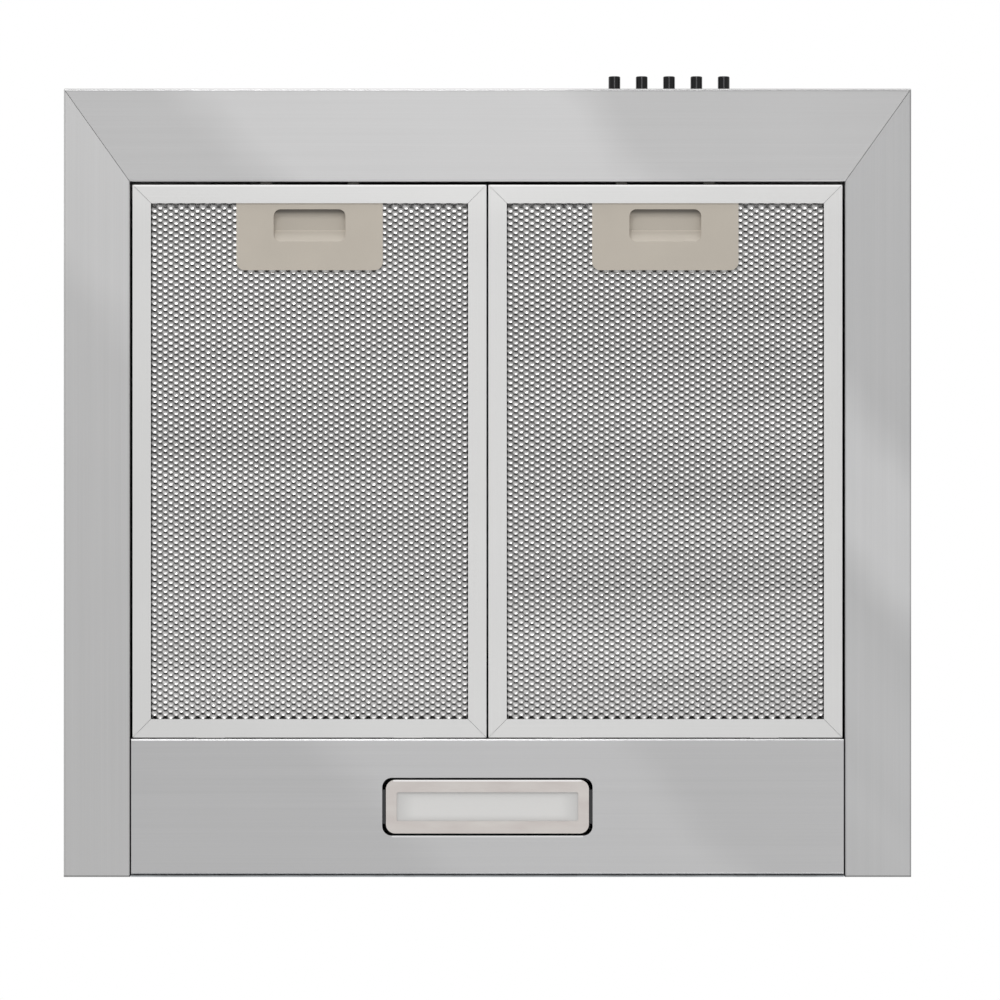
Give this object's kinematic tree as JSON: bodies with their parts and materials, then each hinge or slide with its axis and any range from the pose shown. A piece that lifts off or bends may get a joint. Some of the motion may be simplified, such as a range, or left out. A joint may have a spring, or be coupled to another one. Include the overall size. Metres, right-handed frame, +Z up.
{
  "type": "dome range hood",
  "caption": "Wall-mounted range hood with a domed canopy, cassette grease filters on pull latches, a rear lamp panel, push buttons and a telescopic chimney cover.",
  "frame": {"origin": "where the hood's centreline meets the wall at the height of the rim's underside", "axes": "+Y into the wall, -Y to the front, +Z up, +X to the right of a person who faces the hood"},
  "size_m": [0.6, 0.569, 0.72],
  "materials": {
    "brushed_steel": "long brushed grain, satin",
    "zinc_sheet": "galvanised, dull",
    "filter_aluminium": "satin",
    "mesh_aluminium": "expanded, bright edges",
    "beige_plastic": "warm grey, fine texture",
    "black_gloss": "polished",
    "satin_trim": "pinkish satin",
    "frosted_lens": "frosted white",
    "white_plastic": "plain moulded",
    "grey_plastic": "moulded, fine grain",
    "black_plastic": "moulded",
    "rubber": "matt",
    "machined_steel": "turned, bright",
    "zinc_screw": "zinc plated",
    "motor_lacquer": "grey lacquer",
    "stator_iron": "laminated stack",
    "board_white": "solder mask"
  },
  "bodies": {
    "hood": {"canopy_dome": "brushed_steel", "front_skirt": "brushed_steel", "left_skirt": "brushed_steel", "right_skirt": "brushed_steel", "back_plate": "zinc_sheet", "lamp_panel": "brushed_steel", "body_screws": "zinc_screw", "scroll_front": "grey_plastic", "scroll_rear": "grey_plastic", "inlet_guard": "black_plastic", "motor_can": "motor_lacquer", "motor_bearings": "machined_steel", "motor_stator": "stator_iron", "blower_mounts": "rubber", "blower_screws": "zinc_screw", "outlet_collar": "black_plastic", "damper_pin": "machined_steel", "lamp_bezel": "satin_trim", "lamp_diffuser": "frosted_lens", "lamp_board": "board_white", "lamp_case": "white_plastic", "lamp_bracket": "zinc_sheet", "lamp_driver": "white_plastic", "switch_bracket": "zinc_sheet", "switch_bank": "black_plastic", "button_springs": "machined_steel", "control_box": "zinc_sheet", "control_box_lid": "zinc_sheet", "capacitor": "white_plastic", "mains_gland": "black_plastic", "chimney_lower": "brushed_steel"},
    "upper_cover": {"chimney_upper": "brushed_steel", "chimney_bracket": "zinc_sheet", "chimney_screws": "zinc_screw"},
    "impeller": {"impeller": "black_plastic", "impeller_nut": "machined_steel", "motor_shaft": "machined_steel", "motor_rotor": "stator_iron"},
    "damper_left": {"damper_left": "grey_plastic"},
    "damper_right": {"damper_right": "grey_plastic"},
    "filter_left": {"filter_frame_left": "filter_aluminium", "filter_mesh_left": "mesh_aluminium", "filter_core_left": "mesh_aluminium", "filter_back_left": "mesh_aluminium", "latch_seat_left": "beige_plastic", "latch_springs_left": "machined_steel"},
    "latch_left": {"latch_left": "beige_plastic"},
    "filter_right": {"filter_frame_right": "filter_aluminium", "filter_mesh_right": "mesh_aluminium", "filter_core_right": "mesh_aluminium", "filter_back_right": "mesh_aluminium", "latch_seat_right": "beige_plastic", "latch_springs_right": "machined_steel"},
    "latch_right": {"latch_right": "beige_plastic"},
    "button_1": {"button_1": "black_gloss"},
    "button_2": {"button_2": "black_gloss"},
    "button_3": {"button_3": "black_gloss"},
    "button_4": {"button_4": "black_gloss"},
    "button_5": {"button_5": "black_gloss"}
  },
  "joints": [
    {"name": "cover_slide", "type": "slide", "parent": "hood", "child": "upper_cover", "axis": [0, 0, 1], "range_m": [-0.06, 0.22]},
    {"name": "impeller_spin", "type": "hinge", "parent": "hood", "child": "impeller", "pos_m": [-0.08081, -0.09, 0.15], "axis": [0, 1, 0], "continuous": true},
    {"name": "damper_left_swing", "type": "hinge", "parent": "hood", "child": "damper_left", "pos_m": [0, -0.085, 0.27], "axis": [0, 1, 0], "range_deg": [0, 75]},
    {"name": "damper_right_swing", "type": "hinge", "parent": "hood", "child": "damper_right", "pos_m": [0, -0.085, 0.27], "axis": [0, -1, 0], "range_deg": [0, 75]},
    {"name": "filter_left_tilt", "type": "hinge", "parent": "hood", "child": "filter_left", "pos_m": [0, -0.098, 0.0029], "axis": [1, 0, 0], "range_deg": [0, 50]},
    {"name": "latch_left_slide", "type": "slide", "parent": "filter_left", "child": "latch_left", "axis": [0, 1, 0], "range_m": [0, 0.0065], "stiffness_N_per_m": 400, "springref_m": -0.008, "deforming": ["latch_springs_left"]},
    {"name": "filter_right_tilt", "type": "hinge", "parent": "hood", "child": "filter_right", "pos_m": [0, -0.098, 0.0029], "axis": [1, 0, 0], "range_deg": [0, 50]},
    {"name": "latch_right_slide", "type": "slide", "parent": "filter_right", "child": "latch_right", "axis": [0, 1, 0], "range_m": [0, 0.0065], "stiffness_N_per_m": 400, "springref_m": -0.008, "deforming": ["latch_springs_right"]},
    {"name": "button_1_push", "type": "slide", "parent": "hood", "child": "button_1", "axis": [0, 1, 0], "range_m": [0, 0.0038], "stiffness_N_per_m": 300, "springref_m": -0.002, "deforming": ["button_springs"]},
    {"name": "button_2_push", "type": "slide", "parent": "hood", "child": "button_2", "axis": [0, 1, 0], "range_m": [0, 0.0038], "stiffness_N_per_m": 300, "springref_m": -0.002, "deforming": ["button_springs"]},
    {"name": "button_3_push", "type": "slide", "parent": "hood", "child": "button_3", "axis": [0, 1, 0], "range_m": [0, 0.0038], "stiffness_N_per_m": 300, "springref_m": -0.002, "deforming": ["button_springs"]},
    {"name": "button_4_push", "type": "slide", "parent": "hood", "child": "button_4", "axis": [0, 1, 0], "range_m": [0, 0.0038], "stiffness_N_per_m": 300, "springref_m": -0.002, "deforming": ["button_springs"]},
    {"name": "button_5_push", "type": "slide", "parent": "hood", "child": "button_5", "axis": [0, 1, 0], "range_m": [0, 0.0038], "stiffness_N_per_m": 300, "springref_m": -0.002, "deforming": ["button_springs"]}
  ]
}
